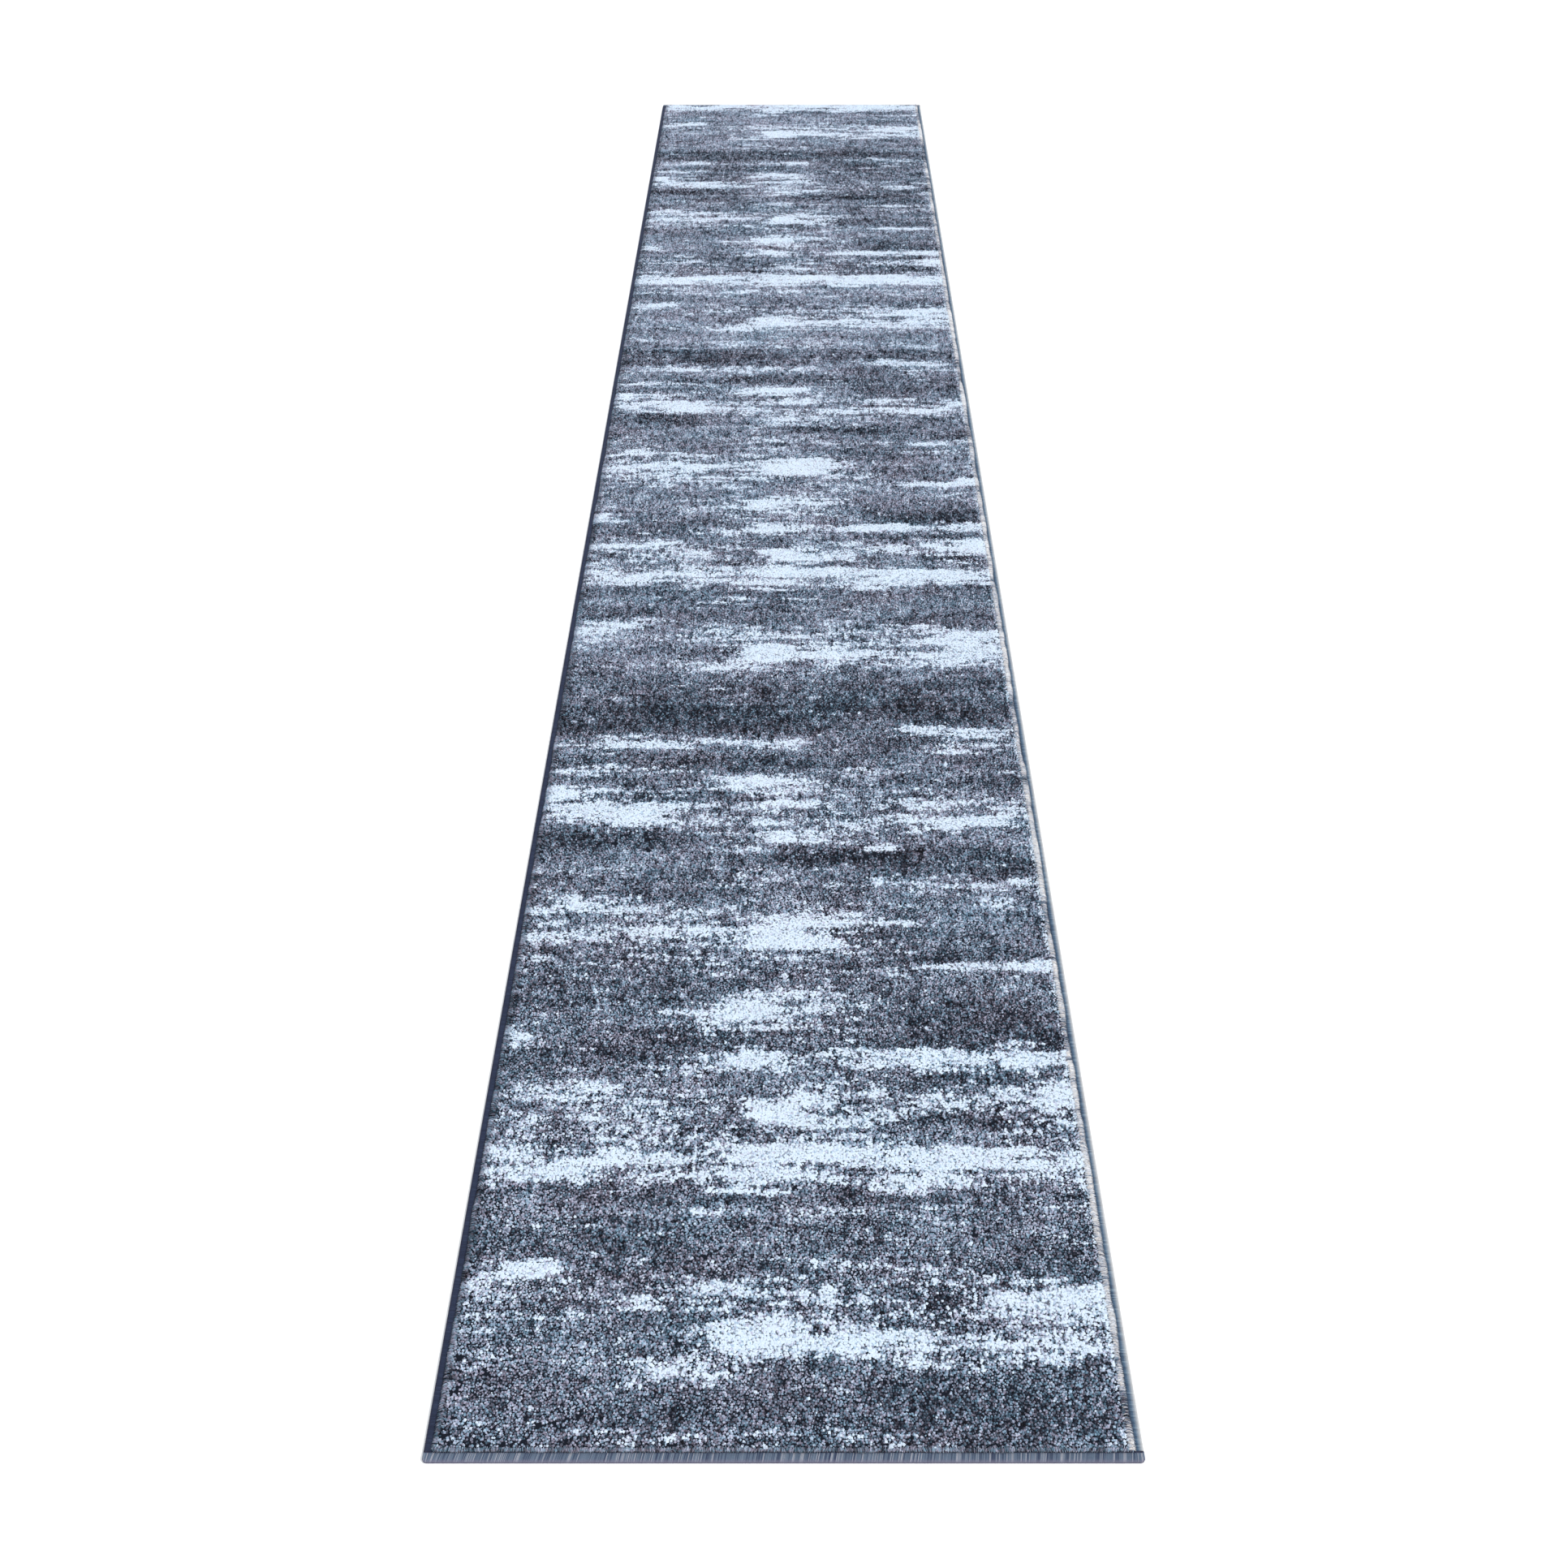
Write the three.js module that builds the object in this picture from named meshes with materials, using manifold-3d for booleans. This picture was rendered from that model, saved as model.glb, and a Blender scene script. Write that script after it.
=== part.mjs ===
// Runner rug: a long, narrow, machine-woven cut-pile rug with overcast edges.
// Millimetres, +Z up. X runs across the rug, Y along it; the near end is at -Y.
// The origin is at the centre of the underside.
//
// Pieces, from the floor up: a thin back coating, the woven ground cloth, the
// cut pile standing in it, and along each of the four edges a cord, the yarn
// binding wrapped over it, and the needle thread that sews the binding down.

import * as THREE from 'three';
import { mergeVertices } from 'three/addons/utils/BufferGeometryUtils.js';
import Module from 'manifold-3d';

// ---- driving dimensions -------------------------------------------------
const WIDTH = 914.4;           // 36 in, outside of the bindings
const LENGTH = 4876.8;         // 192 in, outside of the bindings
const HEIGHT = 12.5;           // floor to pile tips

const GAP = 0.3;               // clearance between pieces that touch

const COAT_THICK = 0.9;        // back coating
const GROUND_Z0 = 1.2;         // underside of the woven ground
const GROUND_Z1 = 3.2;         // top of the woven ground
const GROUND_INSET = 4.8;      // ground edge, inside the binding, next to the cord

const BIND_WIDTH = 14.0;       // how far the binding reaches in from the edge
const BIND_TOP = 5.2;          // top of the roll over the cord
const BIND_LEG_TOP = 4.4;      // top of the inner leg, under the needle thread
const BIND_WALL = 1.1;         // yarn thickness at the outer edge
const BIND_LEG = 0.8;          // yarn thickness of the legs
const CORNER_R = 8.0;          // rounded outer corners, in plan

const CORD_R = 1.5;            // cord inside each binding
const CORD_INSET = 2.9;        // its centre line, from the rug's edge
const CORD_Z = 2.6;
const CORD_END = 6.5;          // the end cords stop short of the rounded corners

const THREAD_INSET = 12.2;     // needle thread centre line, from the edge
const THREAD_WIDTH = 1.2;
const THREAD_Z0 = BIND_LEG_TOP + GAP;
const THREAD_Z1 = THREAD_Z0 + 0.8;
const THREAD_END = 3.0;        // the end threads run nearly the full width

const PILE_BASE_INSET = BIND_WIDTH + GAP;   // pile foot, beside the binding
const PILE_Z0 = GROUND_Z1 + GAP;

// ---- materials ----------------------------------------------------------
const mat = (name, r, g, b, roughness) =>
  new THREE.MeshStandardMaterial({ name, color: new THREE.Color(r, g, b), roughness, metalness: 0 });
const pileMat = () => mat('pile_yarn', 0.36, 0.40, 0.46, 0.95);
const groundMat = () => mat('ground_cloth', 0.16, 0.17, 0.20, 0.9);
const coatMat = () => mat('back_coating', 0.52, 0.48, 0.42, 0.9);
const bindMat = () => mat('binding_yarn', 0.13, 0.18, 0.28, 0.75);
const threadMat = () => mat('needle_thread', 0.03, 0.03, 0.08, 0.7);
const cordMat = () => mat('edge_cord', 0.62, 0.58, 0.50, 0.9);

const rug = new THREE.Group();
const add = (name, geometry, material) => {
  const mesh = new THREE.Mesh(geometry, material);
  mesh.name = name;
  rug.add(mesh);
  return mesh;
};

// ---- solid helpers ------------------------------------------------------
const wasm = await Module();
wasm.setup();

function toSolid(geometry) {
  const g = geometry.index ? geometry.clone() : geometry;
  g.deleteAttribute('normal');
  g.deleteAttribute('uv');
  const m = mergeVertices(g, 1e-4);
  return new wasm.Manifold(new wasm.Mesh({
    numProp: 3,
    vertProperties: new Float32Array(m.attributes.position.array),
    triVerts: new Uint32Array(m.index.array),
  }));
}

function toGeometry(solid) {
  const m = solid.getMesh();
  const g = new THREE.BufferGeometry();
  g.setAttribute('position', new THREE.BufferAttribute(new Float32Array(m.vertProperties), 3));
  g.setIndex(new THREE.BufferAttribute(new Uint32Array(m.triVerts), 1));
  g.computeVertexNormals();
  return g;
}

function shapeOf(points) {
  const s = new THREE.Shape();
  points.forEach(([x, y], i) => (i ? s.lineTo(x, y) : s.moveTo(x, y)));
  s.closePath();
  return s;
}

// A profile of [horizontal, z] points, run along X from x0 to x1.
// The horizontal coordinate becomes Y.
function prismAlongX(points, x0, x1) {
  const g = new THREE.ExtrudeGeometry(shapeOf(points), { depth: x1 - x0, bevelEnabled: false });
  // shape x -> Y, shape y -> Z, extrusion -> X
  g.applyMatrix4(new THREE.Matrix4().set(
    0, 0, 1, x0,
    1, 0, 0, 0,
    0, 1, 0, 0,
    0, 0, 0, 1));
  return g;
}

// The same along Y, from y0 to y1; the horizontal coordinate becomes X.
function prismAlongY(points, y0, y1) {
  const g = new THREE.ExtrudeGeometry(shapeOf(points), { depth: y1 - y0, bevelEnabled: false });
  // shape x -> X, shape y -> Z, extrusion -> -Y, so the faces stay outward
  g.applyMatrix4(new THREE.Matrix4().set(
    1, 0, 0, 0,
    0, 0, -1, y1,
    0, 1, 0, 0,
    0, 0, 0, 1));
  return g;
}

function slab(insetX, insetY, z0, z1) {
  const g = new THREE.BoxGeometry(WIDTH - 2 * insetX, LENGTH - 2 * insetY, z1 - z0);
  g.translate(0, 0, (z0 + z1) / 2);
  return g;
}

// ---- back coating and ground cloth --------------------------------------
add('back_coating', slab(BIND_WIDTH + GAP, BIND_WIDTH + GAP, 0, COAT_THICK), coatMat());
add('ground_weave', slab(GROUND_INSET, GROUND_INSET, GROUND_Z0, GROUND_Z1), groundMat());

// ---- pile ---------------------------------------------------------------
// Its shoulder: [distance in from the edge, z], from the foot to the top. The
// yarn leans out over the needle thread, then rounds up to the full height.
const SHOULDER = [
  [PILE_BASE_INSET, PILE_Z0],
  [PILE_BASE_INSET, 4.9],
  [13.3, 5.5],
  [13.2, 6.8],
  [14.6, 8.7],
  [18.0, 11.0],
  [21.5, 12.1],
  [25.5, HEIGHT],
];

function pileProfile(half) {
  const right = SHOULDER.map(([u, z]) => [half - u, z]);
  const left = SHOULDER.map(([u, z]) => [-half + u, z]).reverse();
  return [...right, ...left];
}

{
  const across = toSolid(prismAlongY(pileProfile(WIDTH / 2), -LENGTH / 2, LENGTH / 2));
  const along = toSolid(prismAlongX(pileProfile(LENGTH / 2), -WIDTH / 2, WIDTH / 2));
  add('pile_field', toGeometry(across.intersect(along)), pileMat());
}

// ---- bindings -----------------------------------------------------------
// Outside and inside of the wrap, as [distance in from the edge, z].
const WRAP_OUTSIDE = [
  [BIND_WIDTH, 0], [BIND_WIDTH, BIND_LEG_TOP], [9.0, BIND_LEG_TOP + 0.05], [6.5, 4.9],
  [4.2, BIND_TOP], [2.4, BIND_TOP], [1.1, 4.75], [0.3, 3.9], [0, 2.8], [0, 1.5], [0.35, 0.6], [1.2, 0],
];
const WRAP_INSIDE = [
  [BIND_WIDTH, BIND_LEG], [BIND_WIDTH, BIND_LEG_TOP - BIND_LEG], [9.0, BIND_LEG_TOP - BIND_LEG],
  [6.5, 4.1], [4.2, 4.4], [2.4, 4.4], [1.5, 3.9], [BIND_WALL, 3.1],
  [BIND_WALL, 2.0], [1.6, 1.1], [2.2, BIND_LEG],
];
// the cavity's mouth runs past the leg's end, so it opens inwards
const openMouth = (points) => points.map(([u, z]) => (u === BIND_WIDTH ? [u + 2, z] : [u, z]));

const mapEdge = (points, half, side) => {
  const m = points.map(([u, z]) => [side * (half - u), z]);
  return side > 0 ? m : m.reverse();
};

// a plan outline inset from the rug's edge, with rounded corners
function planPrism(inset, radius, z0, z1) {
  const x = WIDTH / 2 - inset;
  const y = LENGTH / 2 - inset;
  const s = new THREE.Shape();
  s.moveTo(x, -y + radius);
  s.lineTo(x, y - radius);
  s.absarc(x - radius, y - radius, radius, 0, Math.PI / 2, false);
  s.lineTo(-x + radius, y);
  s.absarc(-x + radius, y - radius, radius, Math.PI / 2, Math.PI, false);
  s.lineTo(-x, -y + radius);
  s.absarc(-x + radius, -y + radius, radius, Math.PI, 1.5 * Math.PI, false);
  s.lineTo(x - radius, -y);
  s.absarc(x - radius, -y + radius, radius, 1.5 * Math.PI, 2 * Math.PI, false);
  const g = new THREE.ExtrudeGeometry(s, { depth: z1 - z0, bevelEnabled: false, curveSegments: 8 });
  g.translate(0, 0, z0);
  return toSolid(g);
}

for (const [name, side] of [['near_end_binding', -1], ['far_end_binding', 1]]) {
  const outer = toSolid(prismAlongX(mapEdge(WRAP_OUTSIDE, LENGTH / 2, side), -WIDTH / 2, WIDTH / 2))
    .intersect(planPrism(0, CORNER_R, -1, 20));
  const inner = toSolid(prismAlongX(mapEdge(openMouth(WRAP_INSIDE), LENGTH / 2, side),
    -WIDTH / 2 + BIND_WALL, WIDTH / 2 - BIND_WALL))
    .intersect(planPrism(BIND_WALL, CORNER_R - BIND_WALL, -1, 20));
  add(name, toGeometry(outer.subtract(inner)), bindMat());
}

const SIDE_END = LENGTH / 2 - BIND_WIDTH - GAP;   // side bindings stop at the end bindings
for (const [name, side] of [['left_side_binding', -1], ['right_side_binding', 1]]) {
  const outer = toSolid(prismAlongY(mapEdge(WRAP_OUTSIDE, WIDTH / 2, side), -SIDE_END, SIDE_END));
  const inner = toSolid(prismAlongY(mapEdge(openMouth(WRAP_INSIDE), WIDTH / 2, side), -SIDE_END - 1, SIDE_END + 1));
  add(name, toGeometry(outer.subtract(inner)), bindMat());
}

// ---- needle threads -----------------------------------------------------
for (const [name, side] of [['near_end_thread', -1], ['far_end_thread', 1]]) {
  const g = new THREE.BoxGeometry(WIDTH - 2 * THREAD_END, THREAD_WIDTH, THREAD_Z1 - THREAD_Z0);
  g.translate(0, side * (LENGTH / 2 - THREAD_INSET), (THREAD_Z0 + THREAD_Z1) / 2);
  add(name, g, threadMat());
}
for (const [name, side] of [['left_side_thread', -1], ['right_side_thread', 1]]) {
  const g = new THREE.BoxGeometry(THREAD_WIDTH, 2 * (SIDE_END - GAP), THREAD_Z1 - THREAD_Z0);
  g.translate(side * (WIDTH / 2 - THREAD_INSET), 0, (THREAD_Z0 + THREAD_Z1) / 2);
  add(name, g, threadMat());
}

// ---- cords inside the bindings -------------------------------------------
for (const [name, side] of [['near_end_cord', -1], ['far_end_cord', 1]]) {
  const g = new THREE.CylinderGeometry(CORD_R, CORD_R, WIDTH - 2 * CORD_END, 16);
  g.rotateZ(Math.PI / 2);
  g.translate(0, side * (LENGTH / 2 - CORD_INSET), CORD_Z);
  add(name, g, cordMat());
}
for (const [name, side] of [['left_side_cord', -1], ['right_side_cord', 1]]) {
  const g = new THREE.CylinderGeometry(CORD_R, CORD_R, 2 * SIDE_END, 16);
  g.translate(side * (WIDTH / 2 - CORD_INSET), 0, CORD_Z);
  add(name, g, cordMat());
}

export default rug;
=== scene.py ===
import math

import bpy
import numpy as np
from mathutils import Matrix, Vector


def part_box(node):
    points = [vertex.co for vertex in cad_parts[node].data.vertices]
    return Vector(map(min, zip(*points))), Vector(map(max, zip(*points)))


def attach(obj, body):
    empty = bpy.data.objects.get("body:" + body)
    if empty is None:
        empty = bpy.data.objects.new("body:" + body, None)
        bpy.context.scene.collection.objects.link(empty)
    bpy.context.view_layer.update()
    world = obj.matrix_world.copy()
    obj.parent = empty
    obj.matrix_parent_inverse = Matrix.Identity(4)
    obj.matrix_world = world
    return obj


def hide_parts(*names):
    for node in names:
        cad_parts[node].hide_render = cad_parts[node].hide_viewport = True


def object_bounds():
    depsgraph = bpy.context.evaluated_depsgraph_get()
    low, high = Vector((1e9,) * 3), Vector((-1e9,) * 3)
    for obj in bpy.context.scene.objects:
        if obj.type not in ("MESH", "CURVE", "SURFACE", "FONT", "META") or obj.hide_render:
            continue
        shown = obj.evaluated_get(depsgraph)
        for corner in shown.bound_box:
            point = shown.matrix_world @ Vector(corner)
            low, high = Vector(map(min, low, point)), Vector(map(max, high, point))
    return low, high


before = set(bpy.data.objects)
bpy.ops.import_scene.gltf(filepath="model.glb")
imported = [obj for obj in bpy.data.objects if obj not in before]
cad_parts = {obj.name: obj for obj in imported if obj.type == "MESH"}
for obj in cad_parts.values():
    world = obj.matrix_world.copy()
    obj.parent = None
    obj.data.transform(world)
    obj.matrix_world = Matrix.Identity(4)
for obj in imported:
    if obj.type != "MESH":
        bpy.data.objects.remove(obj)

CAD_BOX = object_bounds()

# ---------------------------------------------------------------------------
# Sizes, all read from the frame (metres)
# ---------------------------------------------------------------------------
LO, HI = CAD_BOX
X0, X1, Y0, Y1 = LO.x, HI.x, LO.y, HI.y
HALF_W, HALF_L = (X1 - X0) / 2, (Y1 - Y0) / 2
PILE_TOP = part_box("pile_field")[1].z
GROUND_LO, GROUND_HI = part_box("ground_weave")
BIND_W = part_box("left_side_binding")[1].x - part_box("left_side_binding")[0].x
BIND_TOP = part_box("left_side_binding")[1].z
THREAD_LO, THREAD_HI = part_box("left_side_thread")
THREAD_U = (THREAD_LO.x + THREAD_HI.x) / 2 - X0      # stitch line, in from the edge
THREAD_Z = (THREAD_LO.z + THREAD_HI.z) / 2
SIDE_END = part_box("left_side_binding")[1].y          # side bindings stop here
MM = 0.001

scene = bpy.context.scene


# ---------------------------------------------------------------------------
# Mesh helper: numpy arrays in, one object out
# ---------------------------------------------------------------------------
def make_object(name, verts, faces, mats, face_mat=None, uv=None, smooth=True, colour=None):
    """faces is a list of (m, k) index arrays. uv is per vertex and goes to the layer that holds this piece's flat map."""
    me = bpy.data.meshes.new(name)
    verts = np.ascontiguousarray(verts, np.float32)
    me.vertices.add(len(verts))
    me.vertices.foreach_set("co", verts.ravel())
    loops = np.concatenate([f.ravel() for f in faces]).astype(np.int32)
    sizes = np.concatenate([np.full(len(f), f.shape[1], np.int32) for f in faces])
    starts = np.concatenate([[0], np.cumsum(sizes)[:-1]]).astype(np.int32)
    me.loops.add(len(loops))
    me.loops.foreach_set("vertex_index", loops)
    me.polygons.add(len(sizes))
    me.polygons.foreach_set("loop_start", starts)
    me.polygons.foreach_set("use_smooth", np.full(len(sizes), bool(smooth)))
    for m in mats:
        me.materials.append(m)
    if face_mat is not None:
        me.polygons.foreach_set("material_index", np.asarray(face_mat, np.int32))
    me.update(calc_edges=True)
    if uv is not None:
        layer = me.uv_layers.new(name="OFBake")
        layer.uv.foreach_set("vector", np.asarray(uv, np.float32)[loops].ravel())
    if colour is not None:
        a = me.color_attributes.new("tone_and_shade", "FLOAT_COLOR", "POINT")
        rgba = np.ones((len(verts), 4), np.float32)
        rgba[:, :3] = colour
        a.data.foreach_set("color", rgba.ravel())
    ob = bpy.data.objects.new(name, me)
    scene.collection.objects.link(ob)
    return ob


# ---------------------------------------------------------------------------
# Noise made from seeded lattices, so that every run is the same
# ---------------------------------------------------------------------------
def lattice_noise(x, y, sx, sy, seed):
    """Smooth value noise from -1 to 1, with cells of sx by sy (same units as x and y)."""
    rng = np.random.default_rng(seed)
    n = 256
    g = rng.uniform(-1, 1, (n, n)).astype(np.float32)
    u, v = x / sx + 17.3, y / sy + 41.7
    iu, iv = np.floor(u).astype(np.int64), np.floor(v).astype(np.int64)
    fu, fv = (u - iu).astype(np.float32), (v - iv).astype(np.float32)
    fu, fv = fu * fu * (3 - 2 * fu), fv * fv * (3 - 2 * fv)
    i0, i1, j0, j1 = iu % n, (iu + 1) % n, iv % n, (iv + 1) % n
    top = g[j0, i0] * (1 - fu) + g[j0, i1] * fu
    bot = g[j1, i0] * (1 - fu) + g[j1, i1] * fu
    return top * (1 - fv) + bot * fv


def ramp(t):
    t = np.clip(t, 0, 1)
    return t * t * (3 - 2 * t)


# --- PATTERN START ---------------------------------------------------------
# The woven pattern, in millimetres: x across from the centre, y along from the
# near edge. It repeats along the rug. Each streak is x0, x1, y0, y1, strength.
REPEAT = 1500.0
STREAKS = [
    # near end of the repeat
    (-430, -330, 42, 56, .45), (-205, -80, 18, 34, .50), (-60, 60, 12, 26, .28),
    (60, 150, 14, 26, .28), (190, 290, 12, 22, .22), (350, 440, 14, 30, .26),
    (-195, -100, 107, 125, .7), (-115, -60, 128, 150, .6), (-110, 25, 132, 196, 1.0),
    (-60, 120, 176, 196, .6), (10, 140, 148, 174, .95), (100, 215, 157, 178, .85), (110, 450, 146, 157, .8),
    (60, 215, 126, 142, .45), (200, 330, 124, 140, .50), (300, 450, 122, 138, .45),
    (205, 300, 160, 172, .6), (290, 450, 142, 174, .62), (10, 300, 194, 206, .45),
    (230, 420, 192, 212, .65), (280, 360, 206, 230, .8), (340, 448, 210, 244, .9),
    (310, 450, 178, 198, .7), (405, 450, 118, 134, .5),
    (-200, -20, 226, 246, .55), (-60, 90, 216, 236, .5), (-300, -120, 200, 222, .35),
    (-410, -305, 244, 278, .85), (-450, -395, 222, 262, .6), (-360, -290, 262, 284, .5),
    (40, 150, 262, 280, .5), (150, 310, 256, 270, .5), (-250, -60, 252, 262, .3),
    (-450, -390, 196, 214, .4),
    # grey stretch with flecks
    (-140, -85, 352, 368, .7), (-190, -120, 340, 350, .45), (-60, 45, 350, 362, .45),
    (-430, -250, 332, 350, .38), (115, 150, 308, 324, .65), (-230, -150, 318, 328, .35),
    (380, 450, 352, 372, .4), (330, 440, 310, 320, .3), (-40, 60, 322, 332, .3),
    # broad light band
    (-105, 5, 386, 398, .8), (120, 215, 386, 402, .8),
    (-452, -255, 406, 438, .8), (-452, -350, 438, 472, .75), (-350, -240, 430, 452, .85),
    (-250, -165, 454, 478, .6), (-300, -100, 438, 462, .7), (-240, -90, 408, 432, .6),
    (-110, 60, 406, 436, .8), (-95, 145, 438, 474, 1.0), (30, 140, 454, 472, .7),
    (140, 380, 444, 470, .95), (160, 452, 424, 450, .9), (120, 300, 404, 426, .75),
    (300, 452, 404, 424, .65), (390, 452, 436, 462, .8), (60, 160, 404, 424, .5),
    (15, 95, 480, 494, .3), (-60, 20, 478, 486, .4),
    # above the band
    (-40, 60, 500, 530, .95), (-55, 25, 520, 548, .9), (40, 150, 500, 524, .7),
    (100, 165, 520, 540, .55), (-10, 90, 540, 566, .6), (0, 110, 566, 584, .5),
    (190, 262, 536, 560, .6), (-240, -120, 516, 530, .4), (-160, -60, 540, 560, .4),
    (-450, -280, 550, 566, .75), (-330, -255, 558, 588, .7), (-270, -190, 540, 556, .6),
    (-440, -350, 574, 590, .45), (310, 355, 545, 575, .6), (375, 452, 536, 590, .95),
    (270, 330, 556, 574, .4), (112, 145, 556, 582, .7), (400, 450, 500, 516, .5),
    (-95, -12, 612, 648, .95), (-180, -80, 606, 624, .6), (-20, 60, 612, 626, .45),
    (105, 320, 616, 648, .9), (330, 452, 616, 648, .95), (40, 120, 630, 650, .5),
    (-345, -300, 600, 614, .65), (-450, -405, 656, 692, .9), (-420, -365, 650, 668, .6),
    (320, 400, 656, 666, .4),
    (-65, 30, 690, 702, .75), (-110, 0, 706, 754, .95), (-235, -100, 712, 728, .7),
    (0, 105, 724, 750, .65), (-60, 60, 756, 770, .45), (350, 402, 768, 780, .65),
    (-60, 50, 676, 684, .3), (-260, -180, 744, 756, .4),
    # second third of the repeat
    (245, 452, 810, 830, .85), (390, 452, 822, 842, .7), (-155, -95, 800, 810, .6),
    (-85, 95, 858, 894, .95), (-60, 40, 878, 916, .9), (-452, -280, 884, 902, .65),
    (-300, -90, 890, 912, .8), (-452, -400, 872, 888, .55), (-60, 145, 904, 936, .8),
    (100, 250, 906, 924, .5), (-310, -170, 936, 958, .65), (-400, -330, 950, 982, .8),
    (-452, -390, 936, 956, .7), (-330, -280, 962, 982, .4), (-130, -60, 936, 958, .5),
    (-10, 60, 930, 950, .4), (40, 130, 948, 962, .35), (-80, 20, 962, 984, .4),
    (325, 400, 952, 978, .55), (-450, -300, 846, 858, .3), (60, 200, 846, 860, .4),
    (-260, -120, 840, 850, .35),
    (180, 320, 1001, 1015, .5), (270, 395, 996, 1016, .75), (390, 452, 1006, 1024, .6),
    (-160, 10, 1018, 1034, .4), (60, 170, 1006, 1016, .45), (-340, -290, 1002, 1014, .4),
    (-420, -320, 1036, 1048, .25), (-85, -15, 1088, 1106, .6), (130, 205, 1088, 1104, .55),
    (-55, 12, 1112, 1138, .85), (-90, -40, 1100, 1114, .5), (10, 120, 1100, 1112, .4),
    (30, 100, 1128, 1146, .4),
    # second broad band
    (-345, -215, 1158, 1202, .85), (-452, -330, 1176, 1200, .7), (-200, -90, 1164, 1184, .5),
    (-100, 30, 1150, 1176, .55), (60, 180, 1158, 1176, .55), (185, 300, 1164, 1184, .7),
    (280, 400, 1150, 1182, .8), (360, 400, 1156, 1196, .7),
    (-452, -160, 1196, 1218, .75), (-110, 100, 1200, 1218, .75), (-40, 90, 1216, 1232, .65),
    (150, 385, 1210, 1232, .72), (385, 452, 1176, 1216, .65), (200, 330, 1196, 1210, .6),
    (-452, -395, 1220, 1262, .95), (-400, -265, 1238, 1256, .65), (-150, -60, 1252, 1270, .85),
    (-110, 40, 1260, 1290, .95), (-90, 60, 1240, 1256, .6), (60, 110, 1258, 1276, .25),
    (-452, -270, 1298, 1312, .6), (-430, -370, 1302, 1320, .6), (95, 245, 1298, 1312, .6),
    (390, 452, 1296, 1310, .4), (200, 320, 1246, 1260, .35),
    # last stretch of the repeat
    (-355, -220, 1372, 1396, .8), (-330, -270, 1392, 1408, .3), (-210, 30, 1374, 1398, .5),
    (-5, 30, 1374, 1394, .8), (-440, -360, 1360, 1374, .45), (285, 355, 1350, 1366, .7),
    (290, 440, 1368, 1384, .5), (230, 430, 1406, 1430, .75), (215, 290, 1420, 1440, .7),
    (330, 410, 1396, 1412, .7), (420, 452, 1380, 1396, .5), (-220, -120, 1352, 1362, .3),
    (-440, -330, 1440, 1450, .25), (30, 140, 1464, 1474, .3),
    # wide faint stretches, where only some picks catch the white yarn
    (-240, 240, 18, 44, .28), (-260, -60, 112, 140, .46), (0, 300, 206, 248, .36), (150, 300, 112, 140, .34), (60, 440, 206, 262, .34),
    (-220, -40, 206, 232, .40), (-330, 20, 470, 496, .38), (160, 452, 516, 582, .44),
    (-220, 60, 600, 640, .42), (-180, 110, 660, 712, .34), (-120, 190, 732, 762, .38),
    (-40, 190, 780, 812, .30), (-452, 0, 800, 860, .32), (-452, -140, 854, 942, .46),
    (-60, 150, 842, 938, .40), (-150, 20, 1004, 1042, .46), (20, 190, 1002, 1030, .26), (-452, -320, 1000, 1032, .30),
    (-80, 110, 1096, 1146, .42), (90, 350, 1136, 1182, .44), (-452, 0, 1150, 1200, .42),
    (-390, -200, 1220, 1262, .36), (-452, -180, 1290, 1322, .36), (-380, 30, 1366, 1404, .40),
    (290, 410, 1350, 1372, .25), (-420, -300, 946, 980, .24), (180, 452, 606, 650, .34),
    (-452, -160, 482, 556, .44), (300, 452, 480, 556, .38), (-160, 40, 1246, 1294, .36),
]
# x0, x1, y0, y1, change in tone: darker and lighter stretches of the grey
SHADES = [
    (140, 455, 46, 112, -12), (-455, -240, 60, 112, -10), (-455, -200, 130, 200, 4),
    (-455, -180, 286, 330, -14), (150, 455, 250, 300, -14), (-200, 150, 296, 350, -4),
    (-455, 455, 372, 398, -10), (-165, -60, 484, 504, -34), (290, 430, 500, 522, -34),
    (180, 420, 520, 552, -16), (-455, -150, 480, 556, 6), (200, 455, 586, 606, -24),
    (-455, -200, 596, 650, -10), (190, 455, 652, 704, -32), (140, 455, 704, 752, -14),
    (-200, -40, 652, 692, -18), (-455, 120, 745, 852, -10), (60, 455, 842, 900, -14),
    (-320, -120, 966, 1000, -16), (150, 455, 1024, 1096, -18), (0, 240, 1056, 1096, -38),
    (-455, -190, 1098, 1152, -26), (-300, -160, 1224, 1292, -16), (-310, -50, 1308, 1350, -20),
    (150, 400, 1262, 1292, -14), (-150, 170, 1308, 1358, -18), (150, 290, 1352, 1400, -24), (-455, -300, 1346, 1400, 14), (-455, 60, 1404, 1500, -34),
    (60, 455, 1440, 1500, -30), (380, 455, 1268, 1300, -20), (250, 455, 930, 952, -10),
    (-130, 60, 1222, 1240, -12),
]

# the same, but by the place along the whole rug, where one repeat was dyed or woven unlike the others
LONG_SHADES = [
    (-455, 455, -10, 64, -10), (-455, 455, 1488, 1566, -32), (290, 455, 1596, 1700, 16), (-455, -290, 1676, 1745, 16),
    (290, 455, 2100, 2200, -20), (-455, 455, 2250, 2400, 12), (130, 290, 2400, 2500, -18), (150, 455, 2710, 2860, -20),
    (-455, 455, 3000, 3140, 15), (-455, 455, 3310, 3450, 20), (-455, 455, 3460, 3590, -22), (-150, 150, 3160, 3290, -18), (-200, 455, 3800, 3950, -12),
    (110, 455, 3960, 4400, -27), (-320, -130, 3960, 4400, -18), (-455, -320, 3960, 4400, -8),
]
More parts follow.
